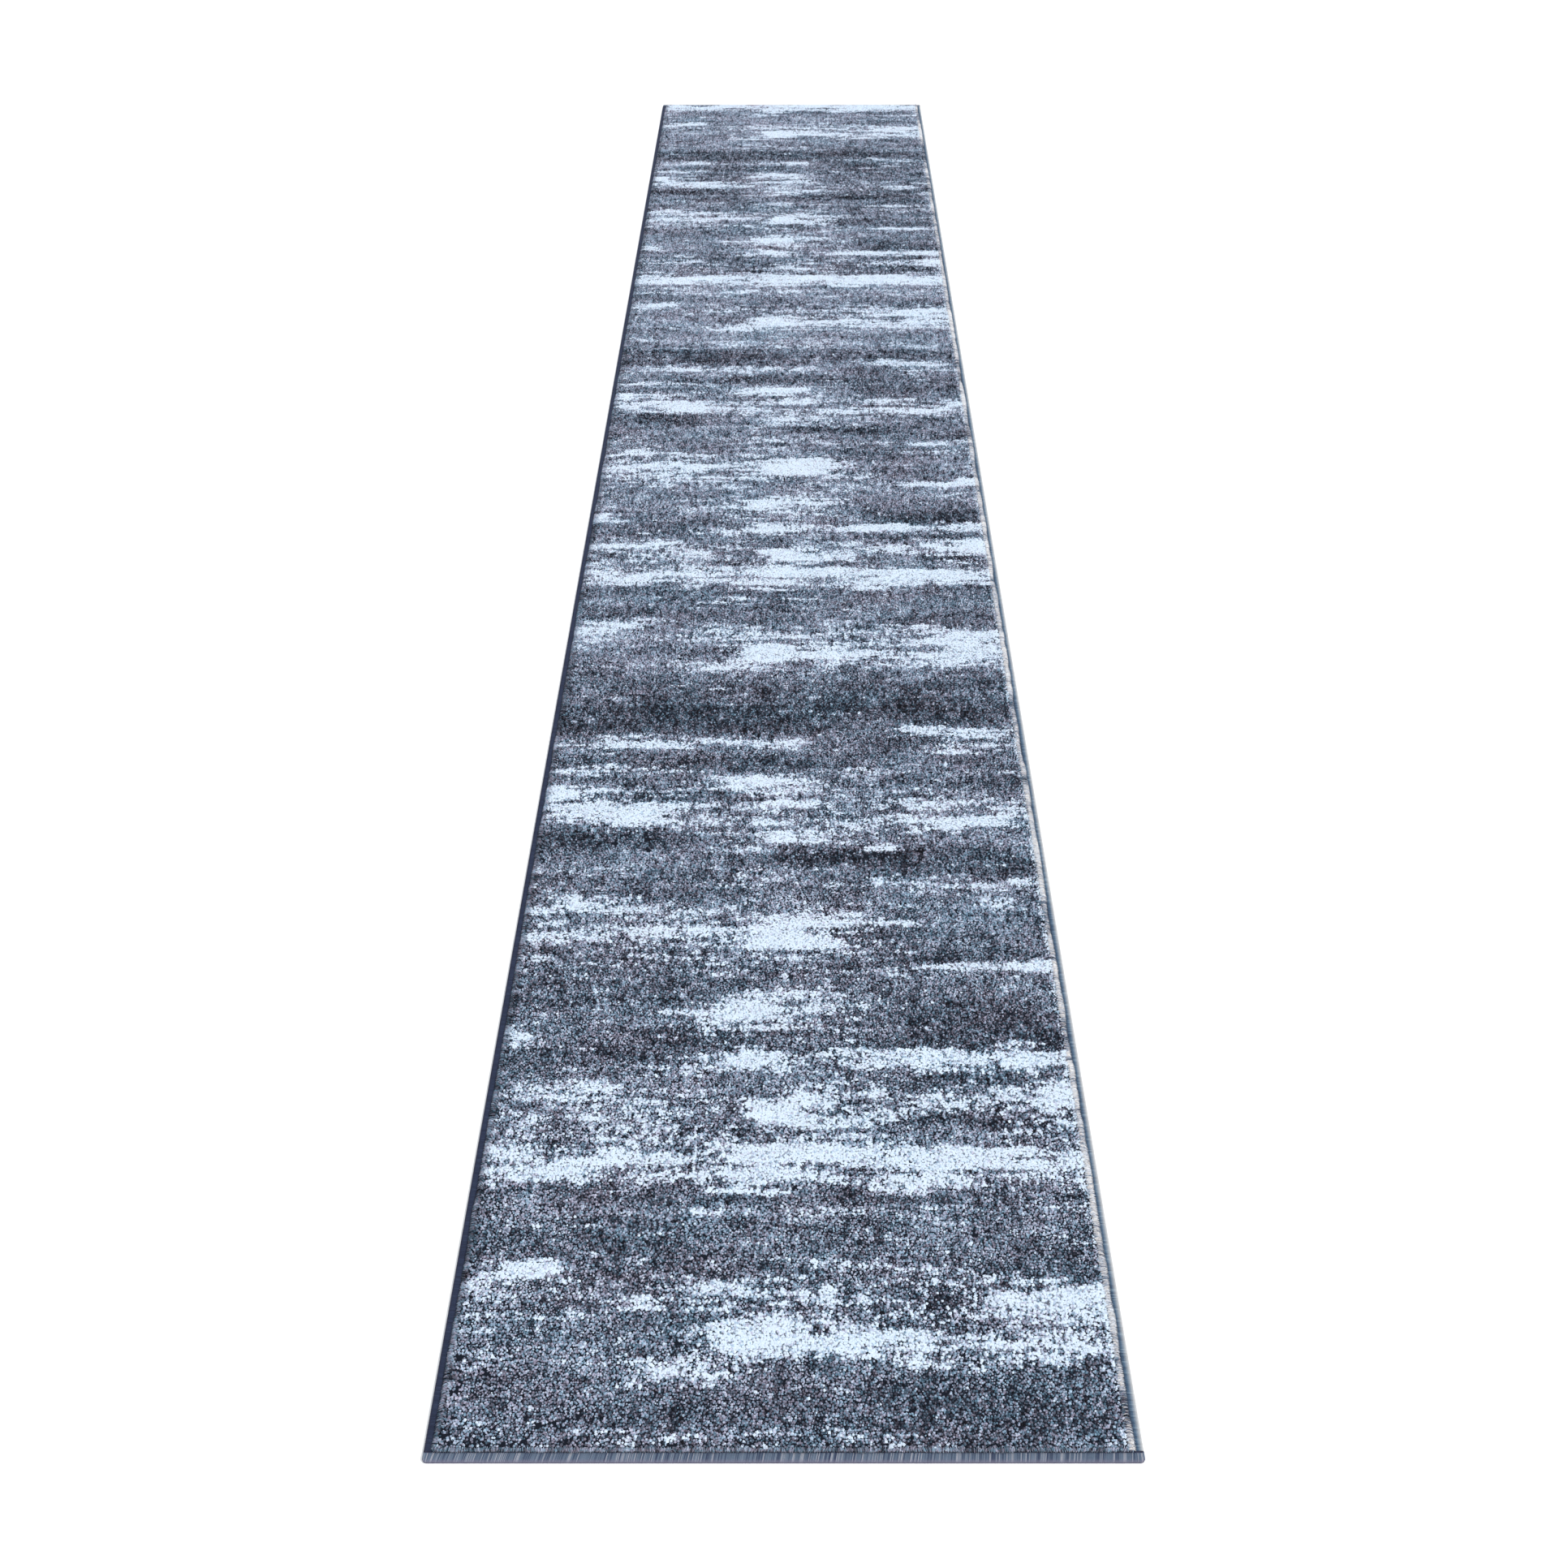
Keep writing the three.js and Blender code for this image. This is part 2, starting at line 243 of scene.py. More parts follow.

# x0, x1, y0, y1, density: where short tufts leave small pits in the pile, painted black as shade
PITS = [
    (-450, -250, 10, 60, .75), (-430, -340, 95, 150, .8), (190, 430, 66, 84, .55), (-60, 60, 50, 70, .5),
    (-455, -330, 276, 312, .6), (-120, 30, 290, 330, .4), (-160, -60, 486, 504, .8), (290, 430, 500, 520, .8),
    (-310, -200, 650, 690, .4), (210, 420, 660, 745, .45), (-455, -350, 820, 850, .35), (60, 300, 872, 896, .4),
    (-320, -150, 970, 1000, .5), (0, 240, 1062, 1096, .9), (-450, -190, 1100, 1152, .8), (200, 440, 1030, 1060, .4),
    (-310, -160, 1226, 1246, .8), (-310, -50, 1312, 1348, .7), (-40, 140, 1342, 1360, .7), (150, 420, 1270, 1290, .5),
    (-455, -250, 1440, 1500, .5), (250, 455, 1448, 1490, .4),
]


def phase_of(y):
    """Distance along the repeat. The last metre and a half of the rug is woven a little tighter."""
    t = np.where(y > 3300, y + 0.073 * (y - 3300), y)
    return np.mod(t, REPEAT), np.floor_divide(t, REPEAT)


def soft_boxes(px, py, boxes):
    """The sum of the boxes' values at each point, each fading out over a quarter of its size."""
    out = np.zeros_like(px)
    order = np.argsort(py, kind="stable")
    sy = py[order]
    for x0, x1, y0, y1, d in boxes:
        fx, fy = 0.25 * (x1 - x0), max(5.0, 0.25 * (y1 - y0))
        a, b = np.searchsorted(sy, [y0 - fy, y1 + fy])
        i = order[a:b]
        if len(i):
            out[i] += d * ramp((np.minimum(px[i] - x0, x1 - px[i]) + fx) / (2 * fx)) \
                * ramp((np.minimum(py[i] - y0, y1 - py[i]) + fy) / (2 * fy))
    return out


def pattern(x, y):
    """For each point: the mean tone of the grey yarn there (0 to 255), and the share of tufts that the white figure takes (0 to 1)."""
    ph, rep = phase_of(y)
    # the figure's edges wander, differently in each repeat, and each column of
    # tufts starts and stops a little early or late, which combs the edges
    wy = 4.0 * lattice_noise(x, y, 46, 16, 11) + 2.5 * lattice_noise(x, y, 13, 9, 12)
    wx = 16 * lattice_noise(x, y, 50, 9, 13) + 12 * lattice_noise(x, y, 22, 5, 14)
    px, py = x + wx, ph + wy
    core = np.zeros_like(x)
    halo = np.zeros_like(x)
    order = np.argsort(py, kind="stable")
    sy = py[order]
    for x0, x1, y0, y1, s in STREAKS:
        fx, fy = max(22.0, 0.34 * (x1 - x0)), max(6.0, 0.34 * (y1 - y0))
        hx, hy = fx + 34.0, fy + 13.0
        a, b = np.searchsorted(sy, [y0 - hy, y1 + hy])
        i = order[a:b]
        if not len(i):
            continue
        dx = np.minimum(px[i] - x0, x1 - px[i])
        dy = np.minimum(py[i] - y0, y1 - py[i])
        core[i] = np.maximum(core[i], s * ramp((dx + fx) / (2 * fx)) * ramp((dy + fy) / (2 * fy)))
        halo[i] += s * ramp((dx + hx) / (1.6 * hx)) * ramp((dy + hy) / (1.6 * hy))
    halo = 1 - np.exp(-1.1 * halo)
    shade = soft_boxes(px, py, SHADES)
    long_shade = soft_boxes(px, y + wy, LONG_SHADES)
    pits = np.zeros_like(x)
    for x0, x1, y0, y1, d in PITS:
        a, b = np.searchsorted(sy, [y0 - 12, y1 + 12])
        i = order[a:b]
        if len(i):
            pits[i] = np.maximum(pits[i], d * ramp((np.minimum(px[i] - x0, x1 - px[i]) + 20) / 40)
                                 * ramp((np.minimum(py[i] - y0, y1 - py[i]) + 10) / 20))
    # long thin breakup, as picks catch or miss the white yarn
    n = 0.50 * lattice_noise(x, y, 62, 8.5, 21) + 0.44 * lattice_noise(x, y, 24, 6.2, 22) \
        + 0.40 * lattice_noise(x, y, 9, 5.2, 23) + 0.50 * lattice_noise(x, y, 3.6, 13, 15)
    field = 0.62 * core + 0.43 * halo + 0.50 * n * (1 - 0.55 * core) + long_shade / 130
    share = ramp((field - 0.06) / 0.98)
    faint = ramp((lattice_noise(x, y, 95, 9, 24) * 0.6 + lattice_noise(x, y, 30, 6, 25) * 0.6 + 0.4 * n - 0.10) / 0.8)
    share = np.maximum(share, 0.48 * faint * (1 + shade / 26).clip(0, 1))
    grey = GREY_MEAN + shade * 1.15 + long_shade + 14 * lattice_noise(x, y, 150, 32, 26) + 9 * lattice_noise(x, y, 55, 18, 37) + 15 * n
    return grey, share, pits


GREY_MEAN, GREY_SPREAD = 130.0, 46.0
WHITE_MEAN, WHITE_SPREAD = 230.0, 13.0


def right_painted_light(y):
    """Painted light along the right side: how much paler the splayed rows there are drawn where the key light from the
    right falls on them, in stretches, and more so near the front end.
    """
    zero = np.zeros_like(y)
    front = 1 - ramp((y - 900) / 2400)
    return (38 + 30 * front + 40 * lattice_noise(zero, y, 1, 120, 68) + 34 * lattice_noise(zero, y, 1, 30, 69)).clip(-10, 116)


def edge_painted_light_and_shade(x, y):
    """The outer rows splay outwards. Painted light and shade on them: paler along the right side and a little along the
    near end, where the key light falls, and darker along the left side, which lies in shade.
    """
    wander = 3.0 * lattice_noise(x, y, 11, 9, 29) + 2.0 * lattice_noise(x, y, 4, 4, 30)
    right = ramp((27.5 - (457.2 - x) + wander) / 4)
    left = ramp((24 - (457.2 + x) + wander) / 5)
    near = ramp((25 - y + wander) / 6)
    return right_painted_light(y) * right - 14 * left * (1 - near) + 16 * near * (1 - right)


def tuft_tones(x, y, r):
    """One tone for each tuft. In the figure's penumbra white and grey tufts are mixed, with a few between."""
    grey, share, pits = pattern(x, y)
    n = len(x)
    column = lattice_noise(x, y, 3.4, 9, 27) * 0.5 + 0.5
    pick = 0.07 + 0.86 * (0.72 * r.uniform(0, 1, n) + 0.28 * column)
    blend = ramp((share - pick) / 0.62 + 0.5)
    g = grey + GREY_SPREAD * (0.66 * r.normal(0, 1, n) + 0.74 * lattice_noise(x, y, 4.0, 9, 28) + 0.62 * lattice_noise(x, y, 8, 17, 38))
    w = WHITE_MEAN + WHITE_SPREAD * r.normal(0, 1, n)
    tone = g + (w - g) * blend
    # painted light and shade along the edges is added to each tuft's tone here
    return np.minimum(tone + edge_painted_light_and_shade(x, y), np.maximum(tone, 214)), blend, pits
# --- PATTERN END -----------------------------------------------------------


# ---------------------------------------------------------------------------
# Materials
# ---------------------------------------------------------------------------
def srgb(r, g, b):
    c = np.array([r, g, b], float) / 255
    lin = np.where(c <= 0.04045, c / 12.92, ((c + 0.055) / 1.055) ** 2.4)
    return tuple(float(v) for v in lin)


def lighter(c, k):
    return tuple(min(1.0, v * k) for v in c) + (1.0,)


class Nodes:
    """A material's node tree, with a few shorthands."""

    def __init__(self, name, sheen=0.0, specular=0.3, sheen_rough=0.5):
        self.mat = bpy.data.materials.new(name)
        self.mat.use_nodes = True
        self.nt = self.mat.node_tree
        self.p = self.nt.nodes["Principled BSDF"]
        self.p.inputs["Sheen Weight"].default_value = sheen
        self.p.inputs["Sheen Roughness"].default_value = sheen_rough
        self.p.inputs["Specular IOR Level"].default_value = specular
        self.coord = self.nt.nodes.new("ShaderNodeTexCoord").outputs["Object"]

    def node(self, kind, **sockets):
        n = self.nt.nodes.new(kind)
        for k, v in sockets.items():
            self.put(n.inputs[k.replace("_", " ")], v)
        return n

    def put(self, socket, v):
        if hasattr(v, "links"):
            self.nt.links.new(v, socket)
        else:
            socket.default_value = v

    def mapped(self, scale, rotate=(0, 0, 0), vector=None):
        m = self.nt.nodes.new("ShaderNodeMapping")
        self.nt.links.new(vector or self.coord, m.inputs["Vector"])
        m.inputs["Scale"].default_value = scale
        m.inputs["Rotation"].default_value = rotate
        return m.outputs["Vector"]

    def noise(self, vector, scale, detail=2.0, rough=0.55):
        return self.node("ShaderNodeTexNoise", Vector=vector, Scale=scale, Detail=detail, Roughness=rough).outputs["Fac"]

    def wave(self, vector, scale, direction="X", distortion=0.0, kind="BANDS", profile="SIN"):
        w = self.nt.nodes.new("ShaderNodeTexWave")
        w.wave_type, w.wave_profile = kind, profile
        if kind == "BANDS":
            w.bands_direction = direction
        self.put(w.inputs["Vector"], vector)
        w.inputs["Scale"].default_value = scale
        w.inputs["Distortion"].default_value = distortion
        return w.outputs["Fac"]

    def remap(self, value, a, b, c, d):
        m = self.nt.nodes.new("ShaderNodeMapRange")
        self.put(m.inputs["Value"], value)
        for k, v in (("From Min", a), ("From Max", b), ("To Min", c), ("To Max", d)):
            m.inputs[k].default_value = v
        return m.outputs["Result"]

    def math(self, op, a, b=0.0):
        m = self.nt.nodes.new("ShaderNodeMath")
        m.operation = op
        self.put(m.inputs[0], a)
        self.put(m.inputs[1], b)
        return m.outputs[0]

    def mix(self, fac, a, b, mode="MIX"):
        m = self.nt.nodes.new("ShaderNodeMix")
        m.data_type, m.blend_type = "RGBA", mode
        self.put(m.inputs["Factor"], fac)
        self.put(m.inputs[6], a)
        self.put(m.inputs[7], b)
        return m.outputs[2]

    def bump(self, height, strength, distance):
        b = self.nt.nodes.new("ShaderNodeBump")
        b.inputs["Strength"].default_value = strength
        b.inputs["Distance"].default_value = distance
        self.put(b.inputs["Height"], height)
        self.put(self.p.inputs["Normal"], b.outputs["Normal"])


def yarn_material(name, rgb, warm, sheen, root=None):
    """Cut polypropylene yarn. Its dye drifts from bobbin to bobbin and from tuft to tuft; root is how dark the painted
    shade makes it down in the pile, towards the tufts' feet, and the tips get a slight painted highlight.
    """
    n = Nodes(name, sheen=sheen, specular=0.08 + 0.5 * sheen)
    c, w = srgb(*rgb), srgb(*warm)
    drift = n.noise(n.mapped((0.4, 1.0, 1.0)), 13.0, 2.0)          # dye drift, in bands some 80 mm wide
    tuft = n.noise(n.mapped((1.0, 1.0, 0.2)), 270.0, 1.0)          # tuft to tuft, about 4 mm
    grain = n.noise(n.mapped((1.0, 1.0, 0.35)), 700.0, 1.0)        # ply to ply, about 1.5 mm
    hue = n.math("ADD", n.math("MULTIPLY", drift, 0.36), n.math("ADD", n.math("MULTIPLY", tuft, 0.94), n.math("MULTIPLY", grain, 0.94)))
    base = n.mix(n.remap(hue, 0.94, 1.28, 0, 1), lighter(c, 1.0), lighter(w, 1.0))
    shade = n.remap(grain, 0.3, 0.7, 0.82, 1.14)
    if root is not None:
        split = n.nt.nodes.new("ShaderNodeSeparateXYZ")
        n.put(split.inputs[0], n.coord)
        # painted shade and highlight: the colour darkens with depth towards the tufts' feet, where shade falls between
        # them, and brightens a little at the tips
        shade = n.math("MULTIPLY", shade, n.remap(split.outputs[2], PILE_TOP - 0.0030, PILE_TOP - 0.0003, root, 1.08))
    comb = n.nt.nodes.new("ShaderNodeCombineColor")
    for i in range(3):
        n.put(comb.inputs[i], shade)
    n.put(n.p.inputs["Base Color"], n.mix(1.0, base, comb.outputs[0], "MULTIPLY"))
    n.put(n.p.inputs["Roughness"], n.remap(grain, 0.3, 0.7, 0.52, 0.78))
    return n.mat


# tone, colour, a warmer partner that it drifts to, sheen, and how dark the painted shade at its roots is
YARNS = [
    ("ink", 26, (15, 21, 31), (28, 24, 29), 0.0, 0.40),
    ("charcoal", 62, (40, 60, 76), (62, 58, 69), 0.04, 0.62),
    ("slate", 94, (66, 97, 116), (100, 94, 108), 0.10, 0.66),
    ("steel", 124, (96, 130, 152), (133, 127, 145), 0.16, 0.68),
    ("silver", 156, (130, 164, 187), (164, 161, 183), 0.20, 0.70),
    ("pale_blue", 192, (162, 190, 212), (190, 190, 209), 0.16, 0.74),
    ("white", 235, (199, 215, 230), (204, 215, 229), 0.08, 0.92),
]
YARN_TONE = np.array([y[1] for y in YARNS], float)
yarn_mats = [yarn_material("yarn_" + y[0], *y[2:]) for y in YARNS]
side_mats = [yarn_material("yarn_side_" + y[0], *y[2:5]) for y in YARNS]
# painted highlight: lit copies of the same yarns, paler and a little warm, for the right side's fringe where the key
# light from the right falls on it
LIT_YARNS = {"silver": ((160, 168, 184), (184, 180, 182)), "pale_blue": ((198, 204, 216), (213, 209, 207)), "white": ((220, 225, 232), (230, 227, 224))}
lit_yarn_mats = [yarn_material("yarn_painted_lit_" + y[0], *LIT_YARNS.get(y[0], y[2:4]), y[4]) for y in YARNS]


# ---------------------------------------------------------------------------
# Pile: the shoulder curve, as height against distance in from the rug's edge
# ---------------------------------------------------------------------------
PILE_FOOT = BIND_W + 0.3 * MM
SHOULDER_U = np.array([14.3, 15.5, 17.5, 20.0, 23.0, 27.0]) * MM
SHOULDER_Z = np.array([0.0070, 0.0089, 0.0104, 0.0114, 0.0120, PILE_TOP - 0.0002])


def edge_distance(x, y):
    """Distance in from the nearest edge of the rug."""
    return np.minimum(HALF_W - np.abs(x), HALF_L - np.abs(y))


def pile_height(x, y):
    return np.interp(edge_distance(x, y), SHOULDER_U, SHOULDER_Z)


def to_mm(x, y):
    return x / MM, (y + HALF_L) / MM


rng = np.random.default_rng(7)
PITCH_X, PITCH_Y = 3.15 * MM, 3.2 * MM
# the outermost tufts stand nearer the seam at the left and at the ends than on the splayed right side
left_x, right_x, inner_y = HALF_W - 16.4 * MM, HALF_W - 18.4 * MM, HALF_L - 16.4 * MM
nx, ny = int((left_x + right_x) / PITCH_X), int(2 * inner_y / PITCH_Y)
gx = np.linspace(-left_x, right_x, nx)
gy = np.linspace(-inner_y, inner_y, ny)
TX, TY = np.meshgrid(gx, gy)
TX = TX + 0.5 * PITCH_X * (np.arange(ny)[:, None] % 2 - 0.5)     # alternate picks are offset
TX = (TX + rng.uniform(-0.40, 0.40, TX.shape) * PITCH_X).ravel()
TY = (TY + rng.uniform(-0.42, 0.42, TY.shape) * PITCH_Y).ravel()
TX = np.clip(TX, -left_x - 0.4 * MM, right_x + 0.4 * MM)
TY = np.clip(TY, -inner_y - 0.4 * MM, inner_y + 0.4 * MM)
N = len(TX)
MX, MY = to_mm(TX, TY)
tuft_tone, white, pit_zone = tuft_tones(MX, MY, rng)
yarn = np.abs(tuft_tone[:, None] - YARN_TONE[None, :]).argmin(1)

# tip heights: gentle relief, tuft-to-tuft scatter, the white figure a little proud
relief = 0.30 * lattice_noise(MX, MY, 55, 30, 31) + 0.22 * lattice_noise(MX, MY, 18, 12, 32)
tip = pile_height(TX, TY) + (relief + rng.normal(0, 1, N) * (0.34 - 0.20 * white) + 0.30 * white - 0.30) * MM
# short or missing tufts leave small pits, mostly in the dark yarns; the pit tufts are lowered and painted black with
# the ink yarn, painted shade in the hole
pit_field = lattice_noise(MX, MY, 5.6, 5.8, 34) + 0.15 * lattice_noise(MX, MY, 60, 22, 33)
pit = (pit_field > 0.86 - 0.30 * pit_zone) & (white < 0.4) & (rng.uniform(0, 1, N) < 0.9)
tip = np.where(pit, tip - rng.uniform(2.6, 3.6, N) * MM, tip)
# painted shade: pit tufts take the near-black ink yarn
yarn = np.where(pit, 0, yarn)

# tips lean a little one way, in patches, and outwards along the edges
lean_x = (0.45 * lattice_noise(MX, MY, 40, 25, 35) + rng.normal(0, 0.55, N)) * MM
lean_y = (-0.25 + 0.5 * lattice_noise(MX, MY, 45, 20, 36) + rng.normal(0, 0.55, N)) * MM
out_x = ramp((30 * MM - (HALF_W - np.abs(TX))) / (14 * MM)) * np.sign(TX)
out_y = ramp((30 * MM - (HALF_L - np.abs(TY))) / (14 * MM)) * np.sign(TY)
lean_x = lean_x + np.where(TX < 0, 3.8, 2.6) * MM * out_x
lean_y = lean_y + 2.6 * MM * out_y

SIDES = 4
solid = ramp((white - 0.6) / 0.4)
radius = (2.32 + 0.38 * solid + rng.normal(0, 0.30, N)).clip(1.5, 3.2) * MM
turn = rng.uniform(0, 2 * math.pi, N)
depth = (3.1 - 1.1 * solid + rng.uniform(-0.25, 0.25, N)) * MM


def tuft_mesh(sel):
    """Cut ends of the chosen tufts: low blunt cones whose feet stand in the pile bed."""
    k = np.arange(SIDES)
    ang = turn[sel][:, None] + 2 * math.pi * k[None, :] / SIDES
    r = radius[sel][:, None]
    V = np.zeros((len(sel), SIDES + 1, 3), np.float32)
    V[:, :SIDES, 0] = TX[sel][:, None] + r * np.cos(ang)
    V[:, :SIDES, 1] = TY[sel][:, None] + r * np.sin(ang)
    V[:, :SIDES, 2] = (tip[sel] - depth[sel])[:, None]
    V[:, SIDES, 0] = TX[sel] + lean_x[sel]
    V[:, SIDES, 1] = TY[sel] + lean_y[sel]
    V[:, SIDES, 2] = tip[sel]
    base = (np.arange(len(sel)) * (SIDES + 1))[:, None]
    F = np.stack([np.concatenate([base + i, base + (i + 1) % SIDES, base + SIDES], 1) for i in range(SIDES)], 1)
    return V.reshape(-1, 3), F.reshape(-1, 3)


def flat_uv(V, y_lo, y_hi):
    """Straight down on the rug, so that neighbouring tufts share the map as they share the floor."""
    u = (V[:, 0] + HALF_W) / (2 * HALF_W)
    v = (V[:, 1] - y_lo) / (y_hi - y_lo)
    return np.clip(np.stack([u, v], 1), 0.001, 0.999)


pile_pieces = []
SECTIONS = [("near", -HALF_L, 0.0), ("far", 0.0, HALF_L)]
for yi, (yname, *_) in enumerate(YARNS):
    for sname, a, b in SECTIONS:
        sel = np.where((yarn == yi) & (TY >= a) & (TY < b))[0]
        parts = max(1, math.ceil(len(sel) / 48000))
        for part in range(parts):
            ya, yb = a + (b - a) * part / parts, a + (b - a) * (part + 1) / parts
            s = sel[(TY[sel] >= ya) & (TY[sel] < yb)]
            if not len(s):
                continue
            V, F = tuft_mesh(s)
            name = f"pile_{yname}_{sname}" + (f"_{part + 1}" if parts > 1 else "")
            ob = make_object(name, V, [F], [yarn_mats[yi]], uv=flat_uv(V, ya, yb))
            pile_pieces.append(ob)


# ---- pile bed: the imported lower yarn that the cut ends stand out of, coloured dark as painted shade between the tufts ---
def graded(lo, hi, step, edge):
    """Grid lines that crowd together near both ends, to follow the shoulder."""
    inner = np.arange(lo + edge[-1], hi - edge[-1], step)
    return np.unique(np.concatenate([lo + np.array(edge), inner, [hi - edge[-1]], hi - np.array(edge)]))


EDGE_STEPS = np.array([0.0, 1.2, 3.2, 5.7, 8.7, 12.7]) * MM
bx = graded(-HALF_W + PILE_FOOT, HALF_W - PILE_FOOT, 9 * MM, EDGE_STEPS)
by = graded(-HALF_L + PILE_FOOT, HALF_L - PILE_FOOT, 9 * MM, EDGE_STEPS)
BX, BY = np.meshgrid(bx, by)
BZ = pile_height(BX, BY) - 2.9 * MM - 0.2 * MM * lattice_noise(BX / MM, BY / MM, 30, 20, 41)
BZ[0, :] = BZ[-1, :] = 4.6 * MM
BZ[:, 0] = BZ[:, -1] = 4.6 * MM
_, bw, _ = pattern(*to_mm(BX.ravel(), BY.ravel()))
# painted shade: the bed is near black where shade falls between the tufts, and lighter under the white figure, whose
# yarn is white
c_bed_shade, c_light = np.array(srgb(22, 27, 37)), np.array(srgb(204, 218, 235))
bed_shade_col = c_bed_shade + (c_light - c_bed_shade) * (0.6 * ramp((bw - 0.7) / 0.3)[:, None])
nbx, nby = len(bx), len(by)
top = np.stack([BX.ravel(), BY.ravel(), BZ.ravel()], 1)
idx = np.arange(nbx * nby).reshape(nby, nbx)
quads = np.stack([idx[:-1, :-1], idx[:-1, 1:], idx[1:, 1:], idx[1:, :-1]], -1).reshape(-1, 4)
ring = np.concatenate([idx[0, :-1], idx[:-1, -1], idx[-1, :0:-1], idx[:0:-1, 0]])
low = top[ring].copy()
low[:, 2] = GROUND_HI.z + 0.15 * MM
lo_i = np.arange(len(ring)) + len(top)
walls = np.stack([lo_i, np.roll(lo_i, -1), np.roll(ring, -1), ring], 1)
centre = np.array([[0, 0, GROUND_HI.z + 0.15 * MM]])
under = np.stack([np.roll(lo_i, -1), lo_i, np.full(len(ring), len(top) + len(ring))], 1)
bed_v = np.concatenate([top, low, centre])
# the bed's lower walls are darkened further, painted shade under its edge
bed_c = np.concatenate([bed_shade_col, bed_shade_col[ring] * 0.8, bed_shade_col[:1]])

bed_mat = Nodes("pile_bed", sheen=0.0, specular=0.05)
bed_shade_attr = bed_mat.nt.nodes.new("ShaderNodeAttribute")
bed_shade_attr.attribute_name = "tone_and_shade"
bn = bed_mat.noise(bed_mat.mapped((1, 1, 1)), 320.0, 3.0)
# painted shade: noise patches pull the bed towards near black
bed_mat.put(bed_mat.p.inputs["Base Color"], bed_mat.mix(bed_mat.remap(bn, 0.3, 0.7, 0.0, 0.75), bed_shade_attr.outputs["Color"], (0.01, 0.012, 0.018, 1)))
bed_mat.put(bed_mat.p.inputs["Roughness"], bed_mat.remap(bn, 0.3, 0.7, 0.8, 0.98))
bed_mat.bump(bn, 0.6, 0.0012)
bed = make_object("pile_bed", bed_v, [quads, walls, under], [bed_mat.mat], uv=flat_uv(bed_v, -HALF_L, HALF_L), colour=bed_c)
pile_pieces.append(bed)


# ---------------------------------------------------------------------------
# Edges. A point on an edge has s along it, u in from the rug's outside, and z.
# ---------------------------------------------------------------------------
EDGES = {
    "near_end": (lambda s, u: (s, -HALF_L + u), HALF_W),
    "far_end": (lambda s, u: (-s, HALF_L - u), HALF_W),
    "left_side": (lambda s, u: (-HALF_W + u, -s), HALF_L),
    "right_side": (lambda s, u: (HALF_W - u, s), HALF_L),
}


def strip_uv(s, half, t, rows=24):
    """An edge is long and thin, so its map is cut into rows, one under another."""
    f = (s + half) / (2 * half) * rows
    row = np.clip(np.floor(f), 0, rows - 1)
    return row, rows, f - row, t


# ---- fringe: the outermost yarn ends, which lean out over the binding -------
# painted light and shade on each edge's fringe tone: the left side's strands are darkened, as that side lies in shade
# from the key light on the right
FRINGE_LIGHT_SHADE = {"near_end": 2, "far_end": 0, "left_side": -22}


